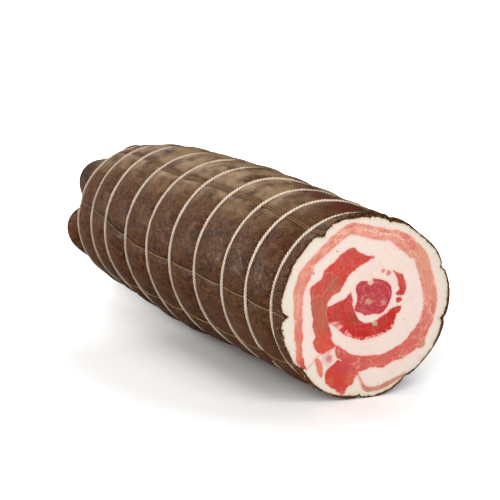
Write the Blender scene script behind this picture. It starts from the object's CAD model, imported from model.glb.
# %% [markdown]
# # A rolled pancetta, tied with string and cut
# This lesson dresses a rolled pancetta. On the real object a sheet of cured pork belly is rolled up, so that
# fat and lean turn in a spiral, slipped into a casing, and tied tight with string while it dries. The solids
# of the part come first, as a fixed frame, and every piece made here takes the place of one of them.

import math

import bmesh
import bpy
import numpy as np
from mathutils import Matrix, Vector
from mathutils.geometry import delaunay_2d_cdt


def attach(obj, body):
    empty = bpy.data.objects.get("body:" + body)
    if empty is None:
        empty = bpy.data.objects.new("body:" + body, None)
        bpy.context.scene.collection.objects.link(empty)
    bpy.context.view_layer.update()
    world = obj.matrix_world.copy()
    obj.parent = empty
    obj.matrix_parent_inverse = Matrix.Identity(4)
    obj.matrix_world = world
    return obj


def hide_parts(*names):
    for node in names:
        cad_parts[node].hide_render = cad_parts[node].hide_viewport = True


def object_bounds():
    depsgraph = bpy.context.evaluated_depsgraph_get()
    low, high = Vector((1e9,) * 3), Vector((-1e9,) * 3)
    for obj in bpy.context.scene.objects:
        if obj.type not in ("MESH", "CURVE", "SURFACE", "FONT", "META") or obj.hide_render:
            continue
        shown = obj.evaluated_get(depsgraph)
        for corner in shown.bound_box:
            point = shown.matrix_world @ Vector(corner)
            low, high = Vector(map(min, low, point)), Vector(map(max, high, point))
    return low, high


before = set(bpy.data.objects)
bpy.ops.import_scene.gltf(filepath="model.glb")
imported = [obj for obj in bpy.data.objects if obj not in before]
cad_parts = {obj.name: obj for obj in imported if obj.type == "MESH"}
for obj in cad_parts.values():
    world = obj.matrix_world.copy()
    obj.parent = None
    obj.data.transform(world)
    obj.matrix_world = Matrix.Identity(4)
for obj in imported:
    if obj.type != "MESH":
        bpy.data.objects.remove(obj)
cad_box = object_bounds()
MM = 0.001
box_low = np.array(cad_box[0]) / MM
box_high = np.array(cad_box[1]) / MM
INSIDE = 0.02
print("box of the solids in mm:", box_low.round(1), box_high.round(1))

# %% [markdown]
# ## How the roll is described
# A tied roll is easiest to describe from its cut: how far back a point lies, its angle round the roll, and its
# radius. Every form below is a radius or a depth as a function of those two, so the strings, the grooves and
# the casing always agree. Angles turn from +Y to +Z, seen from the cut. Lengths are millimetres until the
# meshes are made.

# %% Strings and panels
ROUND_STRINGS = [
    (19, 62.7), (56.5, 64.4), (93, 65.0), (139, 64.7), (186, 63.6),
    (230, 62.2), (272, 61.0), (311, 60.6), (345, 58.4), (379, 54.9),
]
CUT_RADIUS = 62.4
STRING_BEFORE_CUT = -22
PANEL_BULGES = [3.4, 2.4, 2.2, 2.4, 2.8, 3.0, 3.0, 2.8, 2.4, 2.2]
LENGTH_STRINGS = [
    (21, 24), (73.5, 70), (122.5, 113), (180.5, 166),
    (217.5, 224), (264.5, 264), (299, 305), (346, 345),
]
TURN_STARTS = 230
LAST = ROUND_STRINGS[-1][0]
EDGES = np.array([STRING_BEFORE_CUT] + [back for back, radius in ROUND_STRINGS], float)
print(len(ROUND_STRINGS), "round strings over", LAST, "mm, and", len(LENGTH_STRINGS), "lengthwise")


def through(stations, at):
    """A smooth curve through (position, value) stations."""
    xs, ys = np.array(stations, float).T
    before = np.maximum(np.arange(len(xs)) - 1, 0)
    after = np.minimum(np.arange(len(xs)) + 1, len(xs) - 1)
    slope = (ys[after] - ys[before]) / (xs[after] - xs[before])
    at = np.clip(np.asarray(at, float), xs[0], xs[-1])
    i = np.clip(np.searchsorted(xs, at) - 1, 0, len(xs) - 2)
    h = xs[i + 1] - xs[i]
    t = (at - xs[i]) / h
    rise = (2 * t**3 - 3 * t**2 + 1) * ys[i] + (3 * t**2 - 2 * t**3) * ys[i + 1]
    return rise + ((t**3 - 2 * t**2 + t) * slope[i] + (t**3 - t**2) * slope[i + 1]) * h


def ease(value):
    """Turns a straight ramp from 0 to 1 into a soft one."""
    t = np.clip(value, 0, 1)
    return t * t * (3 - 2 * t)


def turn(angle):
    """The same angle, between -180 and 180."""
    return (np.asarray(angle) + 180) % 360 - 180


# %% [markdown]
# ## Uneven by hand
# No tied roll is even. A few broad swells, read from the real one's outline, move the whole surface in or out,
# and everything that sits on the roll moves with them.

# %% Level of the strings and height of the axis
SWELLS = [
    (105, 66, -5.2, 90, 36), (345, 62, -3.6, 60, 36), (232, 240, 3.6, 66, 22),
    (0, 50, -2.0, 28, 13), (0, 312, -2.8, 45, 25),
]
SIDE_SWELL = 1.3
SIDE_SWELL_ANGLE = 165
CUT_AXIS = 64.6
AXIS_LIFT = 0.95
CUT_BLEND = 30
FLOOR_GAP = 1.25


def tied_radius(back):
    """Radius of the tied roll before its unevenness."""
    return through([(0, CUT_RADIUS)] + ROUND_STRINGS, np.clip(back, 0, LAST))


def axis_height(back):
    """Height of the middle of the roll above the floor."""
    lifted = tied_radius(back) + AXIS_LIFT
    return CUT_AXIS + (lifted - CUT_AXIS) * ease(np.asarray(back) / CUT_BLEND)


def floor_radius(back, angle):
    """Radius at which the casing meets the floor."""
    down = -np.sin(np.radians(angle))
    return np.where(down > 0.2, axis_height(back) / np.maximum(down, 0.2), 1e6)


def level(back, angle):
    """Radius of the middle of a round string. All strings keep clear of the floor."""
    height = SIDE_SWELL * np.cos(np.radians(angle - SIDE_SWELL_ANGLE))
    for swell_back, swell_angle, amount, along, around in SWELLS:
        away = ((back - swell_back) / along) ** 2 + (turn(angle - swell_angle) / around) ** 2
        height = height + amount * np.exp(-away)
    return np.minimum(tied_radius(back) + height, floor_radius(back, angle) - FLOOR_GAP)


print("the roll is", round(float(2 * tied_radius(93)), 1), "mm thick at its third string")

# %% [markdown]
# ## Strings press in, fat pushes out
# Between two round strings the casing bulges like a cushion. A lengthwise string lies in a narrow groove with a
# shallow valley on both sides, and dives under each round string. The two kinds of string are sunk a little
# into the casing here, because the real twine has cut into it while the roll dried.

# %% Radius of the casing
STRING = 2.4
LENGTH_STRING = 1.0
STRING_SINK = 0.7
LENGTH_SINK = 0.18
UNDER_PASS = 1.25
CROSSING_SINK = 1.0
STRING_RISE = 2.1
GROOVE_WIDTH = 1.9
VALLEY_DEPTH = 1.0
VALLEY_WIDTH = 9.0
DOUBLE_STRING = 2
DOUBLE_SPREAD = 0.85
LIP_HEIGHT = 0.7
LIP_PLACE = 6.0
LIP_WIDTH = 3.4


def across_panel(back):
    """How far across its panel a point lies, from 0 to 1, and which panel that is."""
    panel = np.clip(np.searchsorted(EDGES, back, side="right") - 1, 0, len(EDGES) - 2)
    return np.clip((back - EDGES[panel]) / (EDGES[panel + 1] - EDGES[panel]), 0, 1), panel


def string_angle(index, back):
    """Angle of a lengthwise string."""
    at_cut, at_end = LENGTH_STRINGS[index]
    return at_cut + (at_end - at_cut) * ease((np.asarray(back) - TURN_STARTS) / (LAST - TURN_STARTS))


def angle_to_string(back, angle):
    """Angle between a point and the nearest lengthwise string."""
    return np.min([abs(turn(angle - string_angle(i, back))) for i in range(len(LENGTH_STRINGS))], axis=0)


def groove_distance(back, angle, radius):
    """Distance in millimetres to the edge of the nearest lengthwise string's groove."""
    spreads = [DOUBLE_SPREAD if i == DOUBLE_STRING else 0 for i in range(len(LENGTH_STRINGS))]
    return np.min([
        np.maximum(np.radians(abs(turn(angle - string_angle(i, back)))) * radius - spread, 0)
        for i, spread in enumerate(spreads)], axis=0)


def string_level(back, angle):
    """Radius of the middle of a lengthwise string."""
    across, panel = across_panel(back)
    rise = np.sin(np.pi * across) ** 0.7
    return level(back, angle) - UNDER_PASS + STRING_RISE * rise


def casing_radius(back, angle):
    """Radius of the casing on the side of the roll."""
    across, panel = across_panel(back)
    arch = np.sin(np.pi * across) ** 0.6
    distance = groove_distance(back, angle, tied_radius(back))
    valley = VALLEY_DEPTH * arch * np.exp(-((distance / VALLEY_WIDTH) ** 2))
    below = np.radians(turn(angle - string_angle(DOUBLE_STRING, back))) * tied_radius(back)
    lip = LIP_HEIGHT * np.exp(-(((below - LIP_PLACE) / LIP_WIDTH) ** 2)) * arch
    bulge = np.array(PANEL_BULGES)[panel]
    open_radius = level(back, angle) - STRING_SINK + (bulge + STRING_SINK) * arch - valley + lip
    groove = np.maximum(string_level(back, angle) - LENGTH_SINK, level(back, angle) - CROSSING_SINK)
    return groove + (open_radius - groove) * (1 - np.exp(-((distance / GROOVE_WIDTH) ** 1.5)))


# %% [markdown]
# ## The closed end
# At the far end the lengthwise strings cross, and the meat between them swells into eight lobes. A point there
# is found from t, which runs from 0 at the last round string to 1 in the middle.

# %% Lobes of the far end
DOME = 11
LOBE = 21.5
LOBE_SWELLS = [4.0, 1.0, 5.0, 8.0, 4.0, 3.0, 4.0, 4.0]
LOBE_ROUNDNESS = 0.5


def lobe_at(angle):
    """The lobe of the far end at an angle: how high it stands there, from 0 to 1, and its number."""
    ends = np.array([at_end for at_cut, at_end in LENGTH_STRINGS] + [LENGTH_STRINGS[0][1] + 360], float)
    turned = (np.asarray(angle, float) - ends[0]) % 360 + ends[0]
    i = np.clip(np.searchsorted(ends, turned, side="right") - 1, 0, len(ends) - 2)
    across = np.clip((turned - ends[i]) / (ends[i + 1] - ends[i]), 0, 1)
    return np.sin(np.pi * across) ** LOBE_ROUNDNESS, i


def end_point(t, angle):
    """Radius and distance back of a point on the far end."""
    last = np.full_like(np.asarray(angle, float), LAST)
    groove_radius = (string_level(last, angle) - LENGTH_SINK) * (1 - t)
    groove_back = LAST + DOME * (1 - (1 - t) ** 2)
    arch = np.sin(np.pi * t) ** 0.72
    share, lobe = lobe_at(angle)
    share = share + 0 * t
    lobe_radius = casing_radius(last, angle) * (1 - t**2.3) + np.array(LOBE_SWELLS)[lobe] * arch
    lobe_back = LAST + DOME * t + LOBE * arch
    return groove_radius + (lobe_radius - groove_radius) * share, groove_back + (lobe_back - groove_back) * share


CUT_X = box_high[0]
MIDDLE_Y = 1.0


def place(back, angle, radius):
    """Points in the frame, in millimetres."""
    a = np.radians(angle)
    height = axis_height(np.minimum(back, LAST))
    x = CUT_X - back + 0 * radius
    return np.stack([x, MIDDLE_Y + radius * np.cos(a), height + radius * np.sin(a)], -1)


# %% [markdown]
# ## Noise and mesh helpers
# Dried casing is dented and creased at several sizes. Value noise, worked out for all points at once, gives
# those dents the same on every run. The mesh helper turns arrays of points and faces into an object.

# %% Noise, meshes and pieces


def lattice(cells, seed):
    """A fixed number from 0 to 1 for every cell of space."""
    mixed = cells[..., 0] * 73856093 ^ cells[..., 1] * 19349663 ^ cells[..., 2] * 83492791 ^ seed * 2654435761
    mixed = (mixed ^ (mixed >> 13)) * 1274126177
    return ((mixed ^ (mixed >> 16)) & 0xFFFFFF) / 0xFFFFFF


def noise(points, size, seed=0):
    """Smooth noise from -1 to 1 with bumps of about the given size."""
    scaled = np.asarray(points, float) / size
    cell = np.floor(scaled).astype(np.int64)
    t = scaled - cell
    t = t * t * (3 - 2 * t)
    total = np.zeros(scaled.shape[:-1])
    for corner in range(8):
        step = np.array([corner & 1, corner >> 1 & 1, corner >> 2 & 1])
        share = np.prod(np.where(step == 1, t, 1 - t), axis=-1)
        total += share * lattice(cell + step, seed)
    return total * 2 - 1


SHARP_FROM = math.radians(55)


def mesh_object(name, points, faces, slots=None):
    """An object from points in millimetres and faces as lists of corners."""
    mesh = bpy.data.meshes.new(name)
    mesh.from_pydata((np.asarray(points) * MM).tolist(), [], faces)
    if slots is not None:
        mesh.polygons.foreach_set("material_index", slots)
    mesh.polygons.foreach_set("use_smooth", [True] * len(mesh.polygons))
    mesh.update()
    mesh.set_sharp_from_angle(angle=SHARP_FROM)
    obj = bpy.data.objects.new(name, mesh)
    bpy.context.scene.collection.objects.link(obj)
    return obj


def finish_piece(obj, material_slot, *nodes):
    """Rides on the part's only body and stands for the named solids."""
    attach(obj, "root")
    if nodes:
        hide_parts(*nodes)
    print(obj.name, "has", len(obj.data.polygons), "faces")


# %% [markdown]
# ## The casing
# The casing is one sheet of dried skin round the whole roll. A grid that follows the strings puts its finest
# faces where the skin bends most, beside the strings. Its dents are pushed along the surface's own direction.
# Near the round strings the skin is gathered into short creases that run along the roll.

# %% Grid of the casing
PANEL_STEPS = 21
END_STEPS = 34
LOBE_STEPS = 36
CREASE_REACH = 7


def crowded(count, pull):
    """Shares from 0 towards 1, closer together near both ends."""
    t = np.arange(count) / count
    return t + pull * ((1 - np.cos(np.pi * t)) / 2 - t)


def wander(back, angle):
    """How far the round strings stray from a true circle, in millimetres along the roll."""
    ring = np.arange(len(ROUND_STRINGS))
    stray = 0.7 * np.sin(np.radians(angle)[..., None] + 1.7 * ring) + 0.4 * np.sin(
        np.radians(2 * angle)[..., None] + 2.9 * ring)
    stray = np.concatenate([np.zeros_like(stray[..., :1]), stray], -1)
    stations = np.array([0.0] + [ring_back for ring_back, radius in ROUND_STRINGS])
    i = np.clip(np.searchsorted(stations, back, side="right") - 1, 0, len(stations) - 2)
    t = np.clip((back - stations[i]) / (stations[i + 1] - stations[i]), 0, 1)
    low = np.take_along_axis(stray, np.asarray(i)[..., None], -1)[..., 0]
    high = np.take_along_axis(stray, np.asarray(i + 1)[..., None], -1)[..., 0]
    return low + (high - low) * t


def column_angles(back):
    """Angles of the grid's columns at each distance back: they follow the lengthwise strings."""
    shares = crowded(LOBE_STEPS, 0.75)
    columns = []
    for index in range(len(LENGTH_STRINGS)):
        start = string_angle(index, back)
        span = (string_angle((index + 1) % len(LENGTH_STRINGS), back) - start) % 360
        columns += [start + share * span for share in shares]
    return np.stack(columns, -1)


row_backs = [0.0]
for low, high in zip(EDGES[:-1], EDGES[1:]):
    row_backs += [back for back in low + (high - low) * crowded(PANEL_STEPS, 0.75) if back > 0.8]
row_backs = np.array(row_backs + [float(LAST)])
side_angles = column_angles(row_backs)
side_backs = np.repeat(row_backs[:, None], side_angles.shape[1], 1)
side_radii = casing_radius(side_backs, side_angles)
side_points = place(side_backs + wander(side_backs, side_angles), side_angles, side_radii)

end_shares = ((np.arange(END_STEPS) + 1) / (END_STEPS + 1)) ** 1.3
end_angles = np.repeat(column_angles(np.array(float(LAST)))[None], END_STEPS, 0)
end_radii, end_backs = end_point(end_shares[:, None], end_angles)
end_wander = wander(np.full_like(end_angles, LAST), end_angles) * (1 - end_shares[:, None])
end_points = place(end_backs + end_wander, end_angles, end_radii)
grid = np.concatenate([side_points, end_points])
print("casing grid:", grid.shape[0], "rows of", grid.shape[1])

# %% Dents and creases of the casing
ring_distance = np.min(abs(side_backs[..., None] - EDGES[1:]), -1)
line_distance = groove_distance(side_backs, side_angles, side_radii)
arc = np.radians(side_angles) * side_radii
crease_points = np.stack([arc, side_backs * 0.25, np.zeros_like(arc)], -1)
creases = 0.14 * noise(crease_points, 4.0, 5) * np.exp(-((ring_distance / CREASE_REACH) ** 1.4))
line_points = np.stack([side_backs, arc * 0.3, np.zeros_like(arc)], -1)
creases += 0.12 * noise(line_points, 5.0, 6) * np.exp(-((line_distance / 6) ** 1.4))
dents = np.zeros(grid.shape[:2])
dents[: len(side_points)] = creases
for size, amount, seed in ((26, 0.5, 1), (11, 0.28, 2), (5, 0.13, 3), (2.4, 0.05, 4)):
    dents += amount * noise(grid, size, seed)
calm = np.ones(grid.shape[:2])
calm[0] = 0.5
along = np.gradient(grid, axis=0)
around = np.roll(grid, -1, 1) - np.roll(grid, 1, 1)
normals = np.cross(around, along)
normals /= np.linalg.norm(normals, axis=-1, keepdims=True)
outward = np.sign((normals * (grid - place(grid[..., 0] * 0, 0.0, 0.0 * grid[..., 0]))).sum(-1).mean())
grid = grid + (normals * outward * ((dents - 0.35) * calm)[..., None])
grid[0, :, 0] = CUT_X
grid = np.clip(grid, box_low + INSIDE, [CUT_X, *(box_high[1:] - INSIDE)])
print("deepest dent", round(float(dents.min()), 2), "mm")

# %% [markdown]
# ## The cut
# The knife leaves one flat face with the spiral of fat and lean. Each lean layer is drawn as a band: an angle,
# an inner radius and an outer radius from the middle of the cut. Muscle never ends in a clean line, so every
# outline is then roughened by noise in two sizes.

# %% Lean layers as bands
OUTER_LEAN = [
    (220, 60.6, 61.4), (212, 57.8, 63.0), (206, 54.8, 60.4), (197, 51.4, 57.2), (180, 49.2, 55.6),
    (165, 50.4, 58.0), (151, 49.8, 59.4), (142, 51.6, 57.8), (128, 50.2, 56.4), (119, 50.6, 57.8),
    (105, 52.8, 60.6), (97, 50.2, 59.4), (90, 48.0, 56.4), (77, 45.6, 54.8), (70, 47.0, 54.6),
    (62, 45.6, 56.4), (52, 44.5, 56.1), (38, 46.0, 56.2), (30, 44.0, 55.4), (18, 42.7, 53.3),
    (0, 43.4, 54.4), (-19, 42.4, 53.2), (-31, 41.0, 53.4), (-37, 40.5, 55.2), (-41, 40.2, 51.8),
    (-56, 37.6, 47.8), (-65, 37.2, 45.3), (-75, 36.2, 46.0), (-84, 35.0, 43.2), (-99, 34.5, 46.0),
    (-114, 34.2, 43.5), (-129, 33.5, 38.7), (-135, 33.6, 34.8),
]
MIDDLE_LEAN = [
    (82, 34.0, 34.6), (88, 32.0, 35.4), (96, 30.4, 37.0), (100, 29.8, 38.8), (103, 29.2, 42.4),
    (108, 28.2, 44.0), (118, 27.4, 43.4), (129, 25.8, 42.3), (139, 25.3, 43.1), (146, 24.9, 42.0),
    (153, 26.4, 44.4), (160, 28.8, 46.2), (170, 30.9, 44.1), (184, 30.7, 41.8), (194, 30.7, 42.8),
    (203, 30.9, 43.6), (208, 31.6, 46.8), (216, 33.6, 47.4), (220, 34.2, 45.8), (223, 34.4, 41.0),
    (226, 34.8, 36.0),
]
INNER_LEAN = [
    (137, 16.4, 17.6), (144, 14.2, 17.5), (151, 12.5, 17.9), (158, 11.9, 18.6), (162, 11.8, 19.4),
    (167, 11.6, 23.2), (172, 10.9, 28.2), (176, 10.4, 31.2), (190, 9.9, 31.2), (196, 9.7, 30.6),
    (201, 9.6, 28.4), (209, 9.8, 26.9), (222, 10.1, 25.5), (242, 11.1, 23.9), (262, 11.7, 23.5),
    (280, 12.0, 22.9), (297, 12.5, 23.9), (308, 12.6, 24.5), (318, 12.7, 25.6), (331, 14.5, 24.8),
    (341, 16.8, 24.0), (345, 17.4, 26.3), (350, 18.6, 26.6), (353, 20.5, 26.4), (355, 24.0, 26.0),
]
ARC_LEAN = [
    (11, 25.4, 28.6), (14.5, 23.2, 30.2), (18, 23.0, 31.2), (20.5, 26.2, 31.7), (25, 26.7, 32.3),
    (31, 27.1, 32.8), (37, 28.4, 33.2), (42, 29.0, 31.6), (46, 29.6, 30.8), (50, 29.8, 30.2),
]
STRIP_LEAN = [
    (261, 46.8, 48.0), (264, 49.2, 52.2), (267, 53.6, 58.2), (270, 56.2, 60.2), (275, 57.4, 61.0),
    (280, 57.5, 61.0), (285, 56.9, 60.4), (292, 57.0, 60.0), (297, 57.6, 59.6), (301, 58.4, 59.0),
]
SLIVER_LEAN = [(219, 50.6, 51.4), (222, 49.4, 53.2), (226, 50.0, 55.2), (230, 52.4, 57.2), (233, 57.0, 58.2)]
CORE_CENTRE = (6, 6)
CORE_LEAN = [
    (0, 12.5), (9, 12.8), (26, 13.4), (45, 13.1), (63, 12.6), (83, 12.7), (102, 13.0), (113, 12.1),
    (126, 15.4), (137, 17.0), (150, 17.1), (158, 16.2), (174, 13.9), (193, 15.1), (206, 17.6),
    (214, 16.4), (223, 14.9), (236, 14.4), (258, 12.1), (284, 12.8), (302, 12.7), (329, 11.9),
    (348, 12.0), (360, 12.5),
]
BLOB_CENTRE = (24.1, 2.0)
BLOB_LEAN = [(0, 2.4), (72, 2.2), (144, 2.4), (216, 2.3), (288, 2.1), (360, 2.4)]
LUMP_CENTRE = (-19, -47)
LUMP_LEAN = [
    (5, 12.4), (35, 10.4), (68, 10.4), (103, 12.1), (125, 11.2), (153, 12.9), (175, 13.3), (205, 12.1),
    (232, 10.8), (254, 11.8), (270, 13.4), (280, 13.0), (292, 9.2), (318, 9.9), (345, 10.0), (365, 12.4),
]
OUTLINE_STEP = 0.5


def even_steps(outline, step):
    """The same closed outline with points an even step apart."""
    outline = np.asarray(outline, float)
    closed = np.vstack([outline, outline[:1]])
    lengths = np.concatenate([[0], np.cumsum(np.linalg.norm(np.diff(closed, axis=0), axis=1))])
    at = np.linspace(0, lengths[-1], max(12, int(lengths[-1] / step)), endpoint=False)
    return np.stack([np.interp(at, lengths, closed[:, i]) for i in (0, 1)], -1)


def ragged(outline, seed, coarse=0.6, fine=0.45):
    """Pushes an outline in and out, as muscle ends in the cut."""
    before = np.roll(outline, 1, 0)
    after = np.roll(outline, -1, 0)
    out = (after - before)[:, ::-1] * [1, -1]
    out /= np.linalg.norm(out, axis=1, keepdims=True) + 1e-9
    flat = np.column_stack([outline, np.full(len(outline), seed * 7.3)])
    push = coarse * noise(flat, 5.5, seed) + fine * noise(flat, 2.1, seed + 50)
    push += fine / 2 * noise(flat, 0.9, seed + 80)
    return outline + out * push[:, None]


def band(stations, seed, coarse=0.6, fine=0.45):
    """Closed outline, in Y and Z, of a band that follows the roll."""
    ordered = sorted(stations)
    angles = np.linspace(ordered[0][0], ordered[-1][0], 6 * len(ordered))
    inner = through([(angle, low) for angle, low, high in ordered], angles)
    outer = through([(angle, high) for angle, low, high in ordered], angles)
    a = np.radians(angles)
    there = np.stack([outer * np.cos(a), outer * np.sin(a)], -1)
    back = np.stack([inner * np.cos(a), inner * np.sin(a)], -1)[::-1]
    return ragged(even_steps(np.vstack([there, back]), OUTLINE_STEP), seed, coarse, fine)


def round_piece(centre, stations, seed, coarse=0.4, fine=0.35):
    """Closed outline, in Y and Z, of a round piece about its own centre."""
    angles = np.linspace(0, 360, 8 * len(stations), endpoint=False)
    first = [(angle - 360, radius) for angle, radius in stations[-3:-1]]
    radius = through(first + list(stations), angles)
    a = np.radians(angles)
    outline = np.array(centre) + np.stack([radius * np.cos(a), radius * np.sin(a)], -1)
    return ragged(even_steps(outline, OUTLINE_STEP), seed, coarse, fine)


LEAN_OUTLINES = {
    "lean_core": [round_piece(CORE_CENTRE, CORE_LEAN, 11)],
    "lean_inner": [band(INNER_LEAN, 12, 0.4, 0.5)],
    "lean_middle": [band(MIDDLE_LEAN, 13)],
    "lean_outer": [band(OUTER_LEAN, 14), round_piece(LUMP_CENTRE, LUMP_LEAN, 15)],
    "lean_arc": [band(ARC_LEAN, 16, 0.15, 0.2)],
    "lean_blob": [round_piece(BLOB_CENTRE, BLOB_LEAN, 17, 0.2, 0.3)],
    "lean_strip": [band(STRIP_LEAN, 18, 0.25, 0.2)],
    "lean_sliver": [band(SLIVER_LEAN, 19, 0.2, 0.2)],
}
print(len(LEAN_OUTLINES), "lean layers")

# %% [markdown]
# ## One sheet of triangles for the whole cut
# The fat, the lean layers and the brown edge of the casing meet along shared lines. One constrained
# triangulation over all outlines keeps those lines exact, and each triangle then goes to the layer it lies in.
# Extra points between the outlines give the face enough triangles for its relief.

# %% Triangles of the cut
EDGE_THICKNESS = 1.15
FACE_STEP = 1.2

rim = grid[0][:, 1:] - [MIDDLE_Y, CUT_AXIS]
rim_angle = np.degrees(np.arctan2(rim[:, 1], rim[:, 0])) % 360
crust = EDGE_THICKNESS + 0.6 * noise(np.column_stack([rim, 0 * rim_angle]), 1.9, 21)
crust += 0.4 * noise(np.column_stack([rim, 0 * rim_angle]), 7.0, 22)
for angle, extra, width in ((90, 2.2, 14), (66, 0.9, 8), (-6, 1.1, 13), (122, 0.9, 5), (338, 0.8, 8),
                            (150, 0.6, 18), (181, 2.6, 2.2), (222, 1.5, 9), (258, 0.9, 6)):
    crust += extra * np.exp(-((turn(rim_angle - angle) / width) ** 2))
crust = np.clip(crust, 0.35, None)
inward = -rim / np.linalg.norm(rim, axis=1, keepdims=True)
fat_edge = rim + inward * crust[:, None]

loops = [rim, fat_edge] + [outline for outlines in LEAN_OUTLINES.values() for outline in outlines]
loop_owner = ["edge", "fat"] + [name for name, outlines in LEAN_OUTLINES.items() for outline in outlines]
steps = np.arange(-70, 70, FACE_STEP)
inner_points = np.array([(y + (row % 2) * FACE_STEP / 2, z) for row, z in enumerate(steps) for y in steps])
inner_points += 0.3 * FACE_STEP * np.stack([
    noise(np.column_stack([inner_points, 0 * inner_points[:, 0]]), 0.9, 23),
    noise(np.column_stack([inner_points, 0 * inner_points[:, 0]]), 0.9, 24)], -1)
reach = np.interp(np.degrees(np.arctan2(inner_points[:, 1], inner_points[:, 0])) % 360,
                  np.sort(rim_angle), np.linalg.norm(fat_edge, axis=1)[np.argsort(rim_angle)], period=360)
inner_points = inner_points[np.linalg.norm(inner_points, axis=1) < reach - 0.5]
outline_points = np.vstack(loops[2:])
cell = {tuple(p) for p in np.floor(outline_points / 0.5).astype(int).tolist()}
keep = [not any((int(math.floor(p[0] / 0.5)) + i, int(math.floor(p[1] / 0.5)) + j) in cell
                for i in (-1, 0, 1) for j in (-1, 0, 1)) for p in inner_points]
inner_points = inner_points[keep]

points_2d = []
loop_faces = []
for loop in loops:
    first = len(points_2d)
    points_2d += [Vector(p) for p in loop.tolist()]
    loop_faces.append(list(range(first, len(points_2d))))
points_2d += [Vector(p) for p in inner_points.tolist()]
flat_points, flat_edges, flat_faces, from_points, from_edges, from_faces = delaunay_2d_cdt(
    points_2d, [], loop_faces, 1, 1e-5)
flat_points = np.array([tuple(p) for p in flat_points])
priority = ["lean_core", "lean_inner", "lean_middle", "lean_outer", "lean_arc", "lean_blob", "lean_strip",
            "lean_sliver", "fat", "edge"]
face_owner = [min((loop_owner[i] for i in owners), key=priority.index) if owners else "none"
              for owners in from_faces]
print("the cut has", len(flat_faces), "triangles:",
      {name: face_owner.count(name) for name in priority})

# %% [markdown]
# ## Lean layers run through the roll
# A lean layer is a long ribbon of muscle, not a stain on the cut. Each one is a closed piece: its part of the
# cut in front, walls that run back through the roll and draw in with it, and a back face near the far end. The
# fat gets the same walls turned inside out, so that the ribbons lie in real pockets.

# %% Walls and pieces of the cut
LEAN_STATIONS = [(0, 1), (16, 0.93), (352, 0.83)]
FACE_SINK = 0.45
FLUSH = 0.05


def face_depth(flat, layer):
    """How far a point of the cut lies behind the cut plane: fat is smooth, lean is finely torn."""
    spot = np.column_stack([flat, np.zeros(len(flat))])
    radius = np.linalg.norm(flat, axis=1)
    rough = {"fat": 0.05, "edge": 0.16}.get(layer, 0.11)
    depth = FACE_SINK + 0.14 * noise(spot, 16, 31) + rough * noise(spot, 1.6, 32)
    return np.clip(depth + 0.25 * ease((radius - 56) / 10), 0.03, None)


def owned(names):
    """Triangles that belong to the named layers."""
    return [tuple(face) for face, owner in zip(flat_faces, face_owner) if owner in names]


def border(faces):
    """Edges used by one triangle only, in the direction that triangle uses them."""
    used = {(face[i], face[(i + 1) % 3]) for face in faces for i in range(3)}
    return [(a, b) for a, b in used if (b, a) not in used]


def at_station(flat, back, scale):
    """Points of the cut moved back through the roll."""
    return np.column_stack([np.full(len(flat), CUT_X - back), MIDDLE_Y + flat[:, 0] * scale,
                            float(axis_height(back)) + flat[:, 1] * scale])


def ribbon(faces, layer, shrink):
    """Points and faces of a closed piece with the given triangles in front."""
    used = sorted({corner for face in faces for corner in face})
    number = {corner: i for i, corner in enumerate(used)}
    flat = flat_points[used]
    edges = [(number[a], number[b]) for a, b in border(faces)]
    if shrink:
        pull = np.zeros_like(flat)
        for a, b in edges:
            side = flat[b] - flat[a]
            inwards = np.array([-side[1], side[0]]) / (np.linalg.norm(side) + 1e-9)
            pull[a] += inwards * shrink
            pull[b] += inwards * shrink
        flat = flat + pull / 2
    front = at_station(flat, 0, 1)
    depth = face_depth(flat, layer)
    outer = sorted({corner for edge in edges for corner in edge})
    depth[outer] = face_depth(flat[outer], "fat") - FLUSH
    front[:, 0] -= depth
    points = [front] + [at_station(flat, back, scale) for back, scale in LEAN_STATIONS[1:]]
    count = len(used)
    front_faces = [tuple(number[c] for c in face) for face in faces]
    all_faces = list(front_faces)
    for row in range(len(points) - 1):
        here, there = row * count, (row + 1) * count
        all_faces += [(b + here, a + here, a + there, b + there) for a, b in edges]
    last = (len(points) - 1) * count
    all_faces += [(c + last, b + last, a + last) for a, b, c in front_faces]
    return np.vstack(points), all_faces


def drop_unused(points, faces):
    """Leaves out the points that no face uses."""
    used = sorted({corner for face in faces for corner in face})
    number = {corner: i for i, corner in enumerate(used)}
    return points[used], [tuple(number[c] for c in face) for face in faces]


LEAN_GAP = 0.02
lean_pieces = {}
for name in LEAN_OUTLINES:
    points, faces = drop_unused(*ribbon(owned([name]), name, LEAN_GAP))
    lean_pieces[name] = mesh_object(name + "_meat", points, faces)
    slot_name = {"lean_outer": "pale_lean", "lean_strip": "pale_lean", "lean_sliver": "pale_lean",
                 "lean_middle": "red_lean", "lean_core": "core_lean"}.get(name, "bright_lean")
    finish_piece(lean_pieces[name], slot_name, name)

# %% [markdown]
# ## Casing and fat as one closed piece
# The casing is thin and has grown onto the fat, so they are one closed mesh with two finishes: brown skin
# outside and round the cut's edge, and cream fat on the cut and in the pockets.

# %% Casing with the fat inside
rows, columns = grid.shape[:2]
body_points = grid.reshape(-1, 3)
body_faces = []
body_slots = []
for row in range(rows - 1):
    for column in range(columns):
        a = row * columns + column
        b = row * columns + (column + 1) % columns
        body_faces.append((a, a + columns, b + columns, b))
        body_slots.append(0)
pole = len(body_points)
last_row = (rows - 1) * columns
middle_of_end = place(np.array([LAST + DOME - 0.3]), np.array([0.0]), np.array([0.0]))
for column in range(columns):
    body_faces.append((last_row + column, pole, last_row + (column + 1) % columns))
    body_slots.append(0)

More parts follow.
